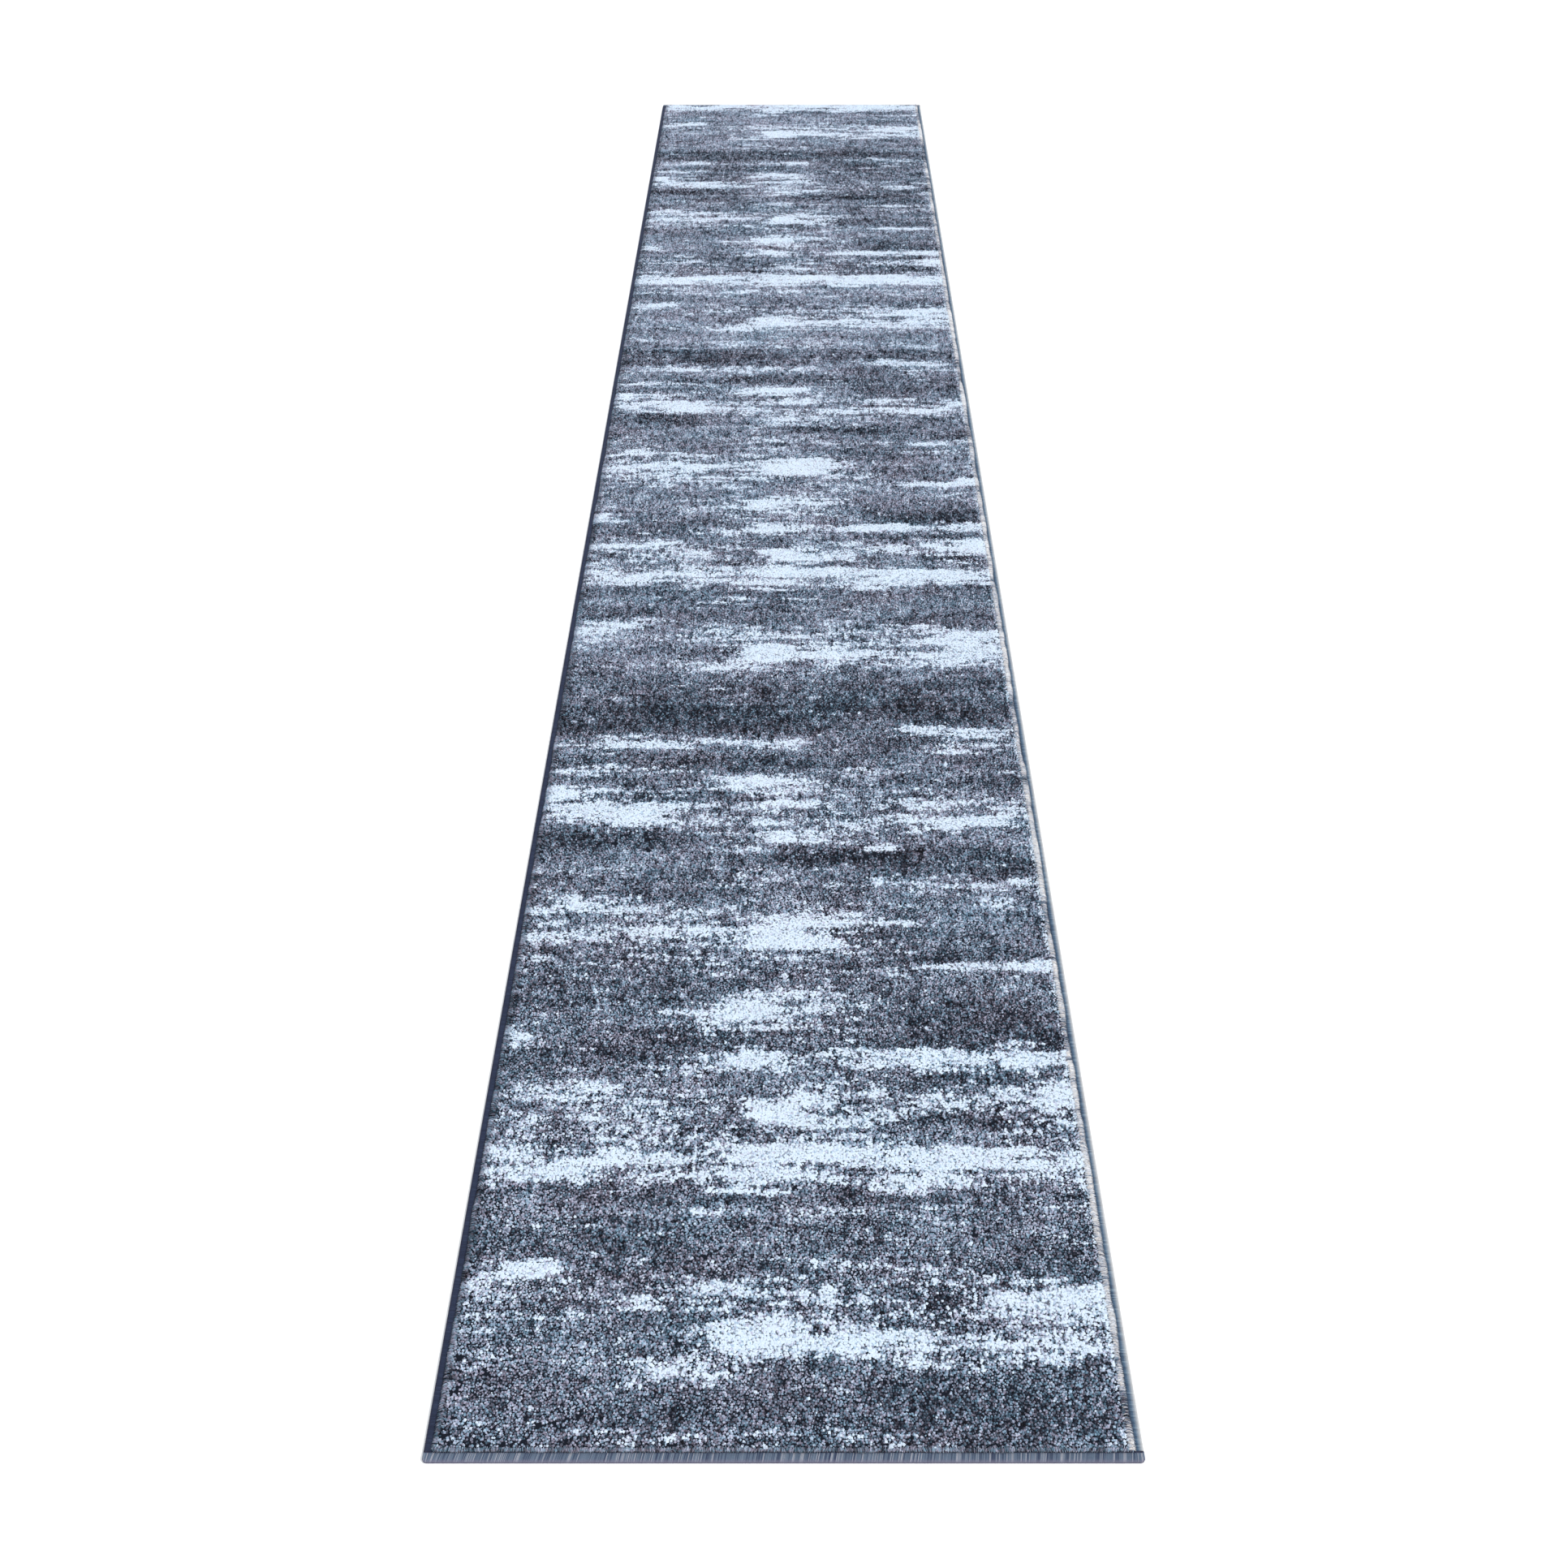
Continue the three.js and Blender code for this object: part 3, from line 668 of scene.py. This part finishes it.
def fringe(edge):
    """The outermost yarn ends drape over the shoulder towards the seam, and cling together in small clumps."""
    place, half = EDGES[edge]
    r = np.random.default_rng({"near_end": 51, "far_end": 52, "left_side": 53, "right_side": 54}[edge])
    V, F, M, UV, count = [], [], [], [], 0
    run = half - 14.0 * MM
    # each layer's path as (inset, height) from the shoulder to the tip, in millimetres:
    # long and combed over on the right, short elsewhere
    if edge == "right_side":
        paths = [[(19.4, 10.3), (16.8, 11.2), (13.8, 9.4), (11.4, 6.5)], [(17.6, 9.0), (15.2, 9.6), (12.9, 8.0), (11.0, 5.7)]]
    else:
        paths = [[(16.6, 8.6), (15.2, 9.2), (13.2, 8.2), (11.6, 6.3)], [(15.6, 7.4), (14.4, 8.1), (12.8, 7.0), (11.2, 5.7)]]
    for layer, (path, step) in enumerate(zip(paths, (0.86, 0.95))):
        k = int(2 * run / (step * MM))
        s = np.linspace(-run, run, k) + r.uniform(-0.6, 0.6, k) * step * MM
        smm, zero = s / MM, np.zeros(k)
        x, y = place(s, np.full(k, 20 * MM))
        t, w, _ = tuft_tones(*to_mm(x, y), r)
        # strands lean and reach out together in loose tufts, wide ones along the sides
        wide, fine, loose = {"right_side": (70, 26, 1.4), "left_side": (60, 20, 0.7)}.get(edge, (26, 9, 0.5))
        size = lattice_noise(smm, zero, wide, 1, 61)
        small = lattice_noise(smm, zero, fine, 1, 62)
        gather = 2.6 * lattice_noise(smm, zero, wide, 1, 63) + 1.8 * lattice_noise(smm, zero, fine, 1, 81) + r.normal(0, 0.6, k)
        reach = loose * (1.7 * size + 1.2 * small) + r.normal(0, 0.5, k) + {"right_side": 1.2, "left_side": 1.6}.get(edge, 0.0)
        lift = 0.35 * size + r.normal(0, 0.30, k)
        start = r.uniform(-1.6, 1.8, k) + 1.0 * lattice_noise(smm, zero, 13, 1, 64)
        rad = r.uniform(0.46, 0.68, k) * MM
        rings = []
        for i, (u, z) in enumerate(path):
            f = (0.0, 0.25, 0.65, 1.0)[i]
            rings.append((s + gather * f ** 1.4 * MM, (u - reach * f + start * (1 - f)) * MM, (z + lift * (1 - 0.4 * f)) * MM))
        pts = np.zeros((k, 10, 3))
        col = 0
        for i, (ss, uu, zz) in enumerate(rings):
            if i == 3:
                px, py = place(ss, np.maximum(uu, 8.2 * MM))
                pts[:, 9, 0], pts[:, 9, 1], pts[:, 9, 2] = px, py, np.maximum(zz, 5.1 * MM)
                break
            for a in range(3):
                th = 2 * math.pi * a / 3 + math.pi / 2
                fr = (0.9, 1.0, 0.75)[i]
                px, py = place(ss + rad * fr * math.cos(th), uu + 0.3 * rad * fr * math.sin(th))
                pts[:, col, 0], pts[:, col, 1], pts[:, col, 2] = px, py, zz + rad * fr * math.sin(th)
                col += 1
        base = (np.arange(k) * 10)[:, None] + count
        for i in range(2):
            for a in range(3):
                b = (a + 1) % 3
                p0, p1, p2, p3 = 3 * i + a, 3 * i + b, 3 * i + 3 + b, 3 * i + 3 + a
                F.append(np.concatenate([base + p0, base + p1, base + p2], 1))
                F.append(np.concatenate([base + p0, base + p2, base + p3], 1))
        for a in range(3):
            F.append(np.concatenate([base + 6 + a, base + 6 + (a + 1) % 3, base + 9], 1))
        # the tufts' painted edge light is taken out and the fringe gets its own: on the right side painted light makes
        # the strands pale, lighter still with the clumps' size; elsewhere they are paled a little, plus the per-edge
        # painted light or shade
        tt = t - edge_painted_light_and_shade(*to_mm(x, y))
        if edge == "right_side":
            tt = 0.85 * tt + 6 + right_painted_light(to_mm(x, y)[1]) + 26 * r.normal(0, 1, k) + 34 * size + 26 * small
        else:
            tt = 0.66 * tt + 36 + FRINGE_LIGHT_SHADE[edge] + 24 * r.normal(0, 1, k) + 8 * size + 8 * small
        m = np.abs(tt[:, None] - YARN_TONE[None, :]).argmin(1)
        for _ in range(15):
            M.append(m)
        row, rows, fu, _ = strip_uv(s, half, 0)
        tv = np.array([0.04] * 3 + [0.35] * 3 + [0.65] * 3 + [0.96]) * 0.48 + layer * 0.5
        UV.append(np.stack([np.repeat(np.clip(fu, 0.002, 0.998), 10), ((row[:, None] + tv[None, :]) / rows).ravel()], 1))
        V.append(pts.reshape(-1, 3))
        count += k * 10
    # the right side's fringe takes the painted-highlight copies of the yarns
    ob = make_object(f"fringe_{edge}", np.concatenate(V), [np.concatenate(F)], lit_yarn_mats if edge == "right_side" else side_mats, face_mat=np.concatenate(M), uv=np.concatenate(UV))
    return ob


for e in EDGES:
    pile_pieces.append(fringe(e))
for p in pile_pieces:
    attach(p, "root")
    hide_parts("pile_field")


# ---- bindings: yarn wrapped over the edge, strand by strand ------------------
# the wrap's outside, from the stitch line over the top, round the edge and under
WRAP_U = np.array([13.7, 12.4, 10.0, 7.0, 4.4, 2.4, 1.0, 0.25, 0.0, 0.4, 1.6, 4.5, 9.0, 13.6]) * MM
WRAP_Z = np.array([4.05, 4.30, 4.45, 4.75, 5.0, 4.95, 4.45, 3.4, 2.1, 0.85, 0.30, 0.12, 0.12, 0.25]) * MM
CORNER = 6.0 * MM


def binding_material(name, cool, dark, light, rim, under, shade, seam):
    """Shade is how far out from the seam the wrap lies in the pile's shadow, as a share of its length; seam is the
    colour of the dark stitch line and of that painted shadow, which fades out from the stitch line to there.
    """
    n = Nodes(name, sheen=0.06, specular=0.2)
    attr = n.nt.nodes.new("ShaderNodeAttribute")
    attr.attribute_name = "tone_and_shade"
    sep = n.nt.nodes.new("ShaderNodeSeparateColor")
    n.put(sep.inputs[0], attr.outputs["Color"])
    strand, outer, along = sep.outputs[0], sep.outputs[1], sep.outputs[2]
    col = n.mix(n.remap(strand, 0.0, 0.45, 0, 1), srgb(*dark) + (1,), srgb(*cool) + (1,))
    col = n.mix(n.remap(strand, 0.62, 0.95, 0, 1), col, srgb(*light) + (1,))
    # the outer edge takes the rim colour; on the right side that is a painted highlight
    col = n.mix(n.math("MULTIPLY", outer, 0.8), col, srgb(*rim) + (1,))
    col = n.mix(n.remap(along, 0.455, 0.505, 0, 1), col, srgb(*under) + (1,))
    # painted shadow of the pile: the seam colour from the stitch line, fading out to shade
    col = n.mix(n.remap(along, 0.04, shade, 1, 0), col, srgb(*seam) + (1,))
    fibre = n.noise(n.mapped((1, 1, 1)), 1400.0, 2.0)
    comb = n.nt.nodes.new("ShaderNodeCombineColor")
    sh = n.remap(fibre, 0.3, 0.7, 0.78, 1.15)
    for i in range(3):
        n.put(comb.inputs[i], sh)
    n.put(n.p.inputs["Base Color"], n.mix(1.0, col, comb.outputs[0], "MULTIPLY"))
    n.put(n.p.inputs["Roughness"], n.remap(fibre, 0.3, 0.7, 0.5, 0.75))
    n.bump(fibre, 0.5, 0.0004)
    return n.mat


# painted light and shade per side: near and far ends share one colouring; the left side's colours are a darkened copy,
# painted shade where the pile shades it from the key light on the right; the right side's beige rim and pale underside
# are a painted highlight where that light catches the outer roll
BIND_MATS = {
    "near_end": binding_material("binding_near", (98, 113, 132), (52, 62, 88), (158, 160, 170), (116, 112, 132), (48, 48, 78), 0.085, (42, 46, 80)),
    "far_end": binding_material("binding_far", (98, 113, 132), (52, 62, 88), (158, 160, 170), (116, 112, 132), (48, 48, 78), 0.085, (42, 46, 80)),
    "left_side": binding_material("binding_left", (35, 45, 69), (27, 35, 57), (44, 54, 78), (33, 32, 56), (28, 27, 48), 0.10, (24, 32, 52)),
    "right_side": binding_material("binding_right", (82, 107, 131), (58, 80, 104), (118, 140, 158), (214, 211, 206), (150, 150, 160), 0.24, (26, 40, 64)),
}


def binding(edge):
    place, half = EDGES[edge]
    r = np.random.default_rng({"near_end": 91, "far_end": 92, "left_side": 93, "right_side": 94}[edge])
    end = edge.endswith("end")
    run = half - (0.6 * MM if end else half - SIDE_END + 0.5 * MM)
    pitch = (1.20 if end else 1.95) * MM
    k = int(2 * run / pitch)
    s = np.linspace(-run, run, k)
    m = len(WRAP_U)
    slant = (3.3 - 0.6 * s / half + 1.5 * lattice_noise(s / MM, np.zeros(k), 60, 1, 95)) * MM * (1 if end else 0.3)
    slant = slant * np.clip((run - np.abs(s)) / (12 * MM), 0, 1)
    swell = r.uniform(0.85, 1.12, k)
    kind = r.uniform(0, 1, k) + 0.08 * lattice_noise(s / MM, np.zeros(k), 45, 1, 96)
    tone_s = np.where(kind < 0.30, 0.12, np.where(kind > 0.80, 0.84, 0.5)) + r.normal(0, 0.09, k)
    # the end bindings turn the rug's corners: the plan is rounded and the roll thins out
    du = np.zeros(k)
    thin = np.ones(k)
    if end:
        d = np.clip(half - np.abs(s), 0, CORNER)
        du = CORNER - np.sqrt(np.maximum(CORNER ** 2 - (CORNER - d) ** 2, 0))
        dz = np.clip((half - np.abs(s)) / (2.6 * MM), 0, 1)
        thin = np.sqrt(np.maximum(1 - (1 - dz) ** 2, 0.04))
    ARC = np.concatenate([[0], np.cumsum(np.hypot(np.diff(WRAP_U), np.diff(WRAP_Z)))])
    ARC = ARC / ARC[-1]
    # cross-section of a strand: a raised rounded ridge on the wrap
    prof_s = np.array([-0.56, -0.30, 0.0, 0.30, 0.56]) if end else np.array([-0.54, -0.20, 0.20, 0.54])
    prof_h = np.array([-0.28, 0.26, 0.42, 0.26, -0.28]) if end else np.array([-0.26, 0.40, 0.40, -0.26])
    prof_t = np.array([-0.40, 0.02, 0.10, 0.02, -0.40]) if end else np.array([-0.34, 0.06, 0.06, -0.34])
    # outward direction of the wrap's profile
    tu, tz = np.gradient(WRAP_U), np.gradient(WRAP_Z)
    ln = np.hypot(tu, tz)
    nu, nz = tz / ln, -tu / ln
    q = len(prof_s)
    V = np.zeros((k, m, q, 3))
    for i in range(m):
        lean = slant * (0.5 - ARC[i] * 1.6) * (1 if i < 9 else 0.4)
        uu0 = du + WRAP_U[i] * (BIND_W - du) / BIND_W
        mid = 0.5 * BIND_TOP
        for j in range(q):
            h = prof_h[j] * swell * MM * (1.0 if 0 < i < m - 1 else 0.4)
            ss = s + prof_s[j] * pitch * swell + lean
            if end:
                ss = np.clip(ss, -half, half)
            else:
                ss = np.clip(ss, -SIDE_END + 0.05 * MM, SIDE_END - 0.05 * MM)
            uu = np.clip(uu0 + nu[i] * h, 0.0, BIND_W)
            z = mid + (WRAP_Z[i] + nz[i] * h - mid) * thin
            x, y = place(ss, uu)
            V[:, i, j, 0], V[:, i, j, 1], V[:, i, j, 2] = x, y, np.maximum(z, 0.02 * MM)
    base = (np.arange(k) * m * q)[:, None, None]
    gi, gj = np.meshgrid(np.arange(m - 1), np.arange(q - 1), indexing="ij")
    a = (gi * q + gj)[None]
    F = np.stack([base + a, base + a + 1, base + a + q + 1, base + a + q], -1).reshape(-1, 4)
    tone_v = np.clip(np.repeat(tone_s, m * q) + np.tile(prof_t, k * m), 0, 1)
    # the right side's rim band is wider, to carry its painted highlight round the outer roll
    rim_u = np.clip(1 - np.maximum(WRAP_U, 0) / ((6.5 if edge == "right_side" else 3.6) * MM), 0, 1)
    rim_v = np.tile(np.repeat(rim_u, q), k)
    arc_v = np.tile(np.repeat(ARC, q), k)
    row, rows, fu, _ = strip_uv(s, half, 0)
    uvx = np.clip(fu[:, None] + np.tile(prof_s * pitch / (2 * half) * rows, m)[None, :], 0.001, 0.999)
    uvy = (row[:, None] + 0.04 + 0.92 * np.repeat(ARC, q)[None, :]) / rows
    ob = make_object(f"binding_{edge}", V.reshape(-1, 3), [F], [BIND_MATS[edge]],
                     uv=np.stack([uvx.ravel(), uvy.ravel()], 1),
                     colour=np.stack([tone_v, rim_v, arc_v], 1))
    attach(ob, "root")
    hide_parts(edge + "_binding")
    return ob


bindings = [binding(e) for e in EDGES]


# ---- needle thread: a row of short stitches along each binding ---------------
def stitch_row(edge):
    place, half = EDGES[edge]
    r = np.random.default_rng(101)
    end = edge.endswith("end")
    run = half - (3.4 * MM if end else half - SIDE_END + 2.2 * MM)
    pitch = 3.5 * MM
    k = int(2 * run / pitch)
    s = np.linspace(-run, run, k) + r.normal(0, 0.12, k) * MM
    q, stations = 6, [(-0.50, 0.25, -0.42), (-0.40, 0.80, -0.10), (-0.15, 1.0, 0.10), (0.15, 1.0, 0.10), (0.40, 0.80, -0.10), (0.50, 0.25, -0.42)]
    rad = 0.42 * MM * r.uniform(0.9, 1.12, k)
    V = np.zeros((k, len(stations), q, 3))
    skew = r.normal(0.10, 0.05, k)
    for i, (f, w, dz) in enumerate(stations):
        for j in range(q):
            th = 2 * math.pi * j / q
            x, y = place(s + f * 0.76 * pitch, THREAD_U + skew * f * 2 * MM + rad * w * 1.15 * math.cos(th))
            V[:, i, j, 0], V[:, i, j, 1] = x, y
            V[:, i, j, 2] = THREAD_Z - 0.25 * MM + dz * MM * 0.7 + rad * w * math.sin(th)
    m = len(stations)
    base = (np.arange(k) * m * q)[:, None, None]
    gi, gj = np.meshgrid(np.arange(m - 1), np.arange(q), indexing="ij")
    a, b = (gi * q + gj)[None], (gi * q + (gj + 1) % q)[None]
    F = np.stack([base + a, base + a + q, base + b + q, base + b], -1).reshape(-1, 4)
    cap0 = (np.arange(k) * m * q)[:, None] + np.arange(q)[None, :]
    cap1 = (np.arange(k) * m * q)[:, None] + (m - 1) * q + np.arange(q)[None, ::-1]
    row, rows, fu, _ = strip_uv(s, half, 0)
    uvx = np.clip(fu[:, None] + np.repeat([x[0] for x in stations], q)[None, :] * pitch / (2 * half) * rows, 0.001, 0.999)
    uvy = (row[:, None] + 0.1 + 0.8 * np.tile(np.arange(q) / q, m)[None, :]) / rows
    ob = make_object(f"stitches_{edge}", V.reshape(-1, 3), [F, cap0, cap1], [thread_mat],
                     uv=np.stack([uvx.ravel(), uvy.ravel()], 1))
    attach(ob, "root")
    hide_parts(edge + "_thread")
    return ob


tn = Nodes("needle_thread", sheen=0.1, specular=0.5)
tg = tn.noise(tn.mapped((1, 1, 1)), 900.0, 2.0)
tn.put(tn.p.inputs["Base Color"], tn.mix(tn.remap(tg, 0.3, 0.7, 0, 1), srgb(10, 15, 26) + (1,), srgb(30, 40, 60) + (1,)))
tn.put(tn.p.inputs["Roughness"], tn.remap(tg, 0.3, 0.7, 0.35, 0.6))
tn.bump(tg, 0.4, 0.0003)
thread_mat = tn.mat
stitches = [stitch_row(e) for e in EDGES]


# ---------------------------------------------------------------------------
# Ground cloth: a woven sheet between the pile and the back coating
# ---------------------------------------------------------------------------
def cloth_slab(name, lo, hi, step, mat, wave):
    xs = np.linspace(lo.x, hi.x, max(2, int((hi.x - lo.x) / step)))
    ys = np.linspace(lo.y, hi.y, max(2, int((hi.y - lo.y) / step)))
    GX, GY = np.meshgrid(xs, ys)
    w = wave * lattice_noise(GX / MM, GY / MM, 40, 40, 111)
    up = np.stack([GX.ravel(), GY.ravel(), (hi.z - wave + w).ravel()], 1)
    dn = np.stack([GX.ravel(), GY.ravel(), (lo.z + wave + w).ravel()], 1)
    n, m = len(ys), len(xs)
    i = np.arange(n * m).reshape(n, m)
    q_up = np.stack([i[:-1, :-1], i[:-1, 1:], i[1:, 1:], i[1:, :-1]], -1).reshape(-1, 4)
    q_dn = (q_up + n * m)[:, ::-1]
    rim = np.concatenate([i[0, :-1], i[:-1, -1], i[-1, :0:-1], i[:0:-1, 0]])
    wall = np.stack([rim + n * m, np.roll(rim, -1) + n * m, np.roll(rim, -1), rim], 1)
    V = np.concatenate([up, dn])
    uv = np.stack([(V[:, 0] - lo.x) / (hi.x - lo.x) * 0.499, (V[:, 1] - lo.y) / (hi.y - lo.y)], 1)
    uv[n * m:, 0] += 0.5
    return make_object(name, V, [q_up, q_dn, wall], [mat], uv=uv)


def weave_material(name, warp, weft, per_m, bump):
    n = Nodes(name, sheen=0.15, specular=0.25)
    a = n.wave(n.mapped((1, 1, 1)), per_m / 6.2832 * 3.1416, "X", 0.0)
    b = n.wave(n.mapped((1, 1, 1)), per_m / 6.2832 * 3.1416, "Y", 0.0)
    over = n.math("GREATER_THAN", n.math("MULTIPLY", n.math("SUBTRACT", a, 0.5), n.math("SUBTRACT", b, 0.5)), 0.0)
    slub = n.noise(n.mapped((1, 1, 1)), 60.0, 3.0)
    col = n.mix(over, srgb(*warp) + (1,), srgb(*weft) + (1,))
    col = n.mix(n.remap(slub, 0.35, 0.7, 0.0, 0.45), col, srgb(*[v * 0.6 for v in warp]) + (1,))
    n.put(n.p.inputs["Base Color"], col)
    n.put(n.p.inputs["Roughness"], n.remap(slub, 0.3, 0.7, 0.75, 0.95))
    n.bump(n.math("ADD", n.math("MULTIPLY", a, 0.5), n.math("MULTIPLY", b, 0.5)), 0.7, bump)
    return n.mat


ground = cloth_slab("ground_cloth", GROUND_LO, GROUND_HI, 12 * MM, weave_material("ground_weave", (78, 82, 92), (58, 62, 74), 330, 0.0006), 0.12 * MM)
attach(ground, "root")
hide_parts("ground_weave")

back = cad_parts["back_coating"]
back_mat = weave_material("back_coating", (178, 166, 146), (150, 138, 118), 260, 0.0008)
back.data.materials.clear()
back.data.materials.append(back_mat)

cord_n = Nodes("edge_cord", sheen=0.1, specular=0.25)
cw = cord_n.wave(cord_n.mapped((1, 1, 1), (0.6, 0.6, 0.6)), 260, "DIAGONAL", 0.5)
cord_n.put(cord_n.p.inputs["Base Color"], cord_n.mix(cw, srgb(84, 88, 98) + (1,), srgb(56, 60, 70) + (1,)))
cord_n.put(cord_n.p.inputs["Roughness"], cord_n.remap(cw, 0, 1, 0.8, 0.95))
cord_n.bump(cw, 0.6, 0.0004)
for n in ("near_end_cord", "far_end_cord", "left_side_cord", "right_side_cord"):
    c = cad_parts[n]
    c.data.materials.clear()
    c.data.materials.append(cord_n.mat)

# ---------------------------------------------------------------------------
# Floor, light and camera
# ---------------------------------------------------------------------------
bpy.ops.mesh.primitive_plane_add(size=60, location=(0, 0, -0.0004))
floor = bpy.context.object
floor.name = "floor"
fm = Nodes("floor", specular=0.1)
fm.p.inputs["Base Color"].default_value = (0.97, 0.97, 0.97, 1)
fm.p.inputs["Roughness"].default_value = 0.9
floor.data.materials.append(fm.mat)

world = bpy.data.worlds.new("studio")
scene.world = world
world.use_nodes = True
world.node_tree.nodes["Background"].inputs["Color"].default_value = (0.93, 0.96, 1.0, 1)
world.node_tree.nodes["Background"].inputs["Strength"].default_value = 0.92

sun = bpy.data.objects.new("key_light", bpy.data.lights.new("key_light", "SUN"))
sun.data.energy = 2.3
sun.data.angle = math.radians(14)
sun.data.color = (1.0, 0.985, 0.97)
sun.rotation_euler = (math.radians(16), math.radians(38), 0)
scene.collection.objects.link(sun)

cam = bpy.data.objects.new("camera", bpy.data.cameras.new("camera"))
cam.data.lens = 36.11
cam.data.sensor_width = 36.0
cam.data.shift_x = -0.00764
cam.data.clip_start, cam.data.clip_end = 0.05, 60
cam.location = (0.0156, Y0 - 0.8966, 1.9710)
cam.rotation_euler = (math.radians(90 - 42.166), 0, 0)
scene.collection.objects.link(cam)
scene.camera = cam

scene.view_settings.view_transform = "Standard"
scene.view_settings.look = "None"
scene.view_settings.exposure = 0.0

print("PIECES", [(p.name, len(p.data.polygons)) for p in pile_pieces + bindings + stitches])
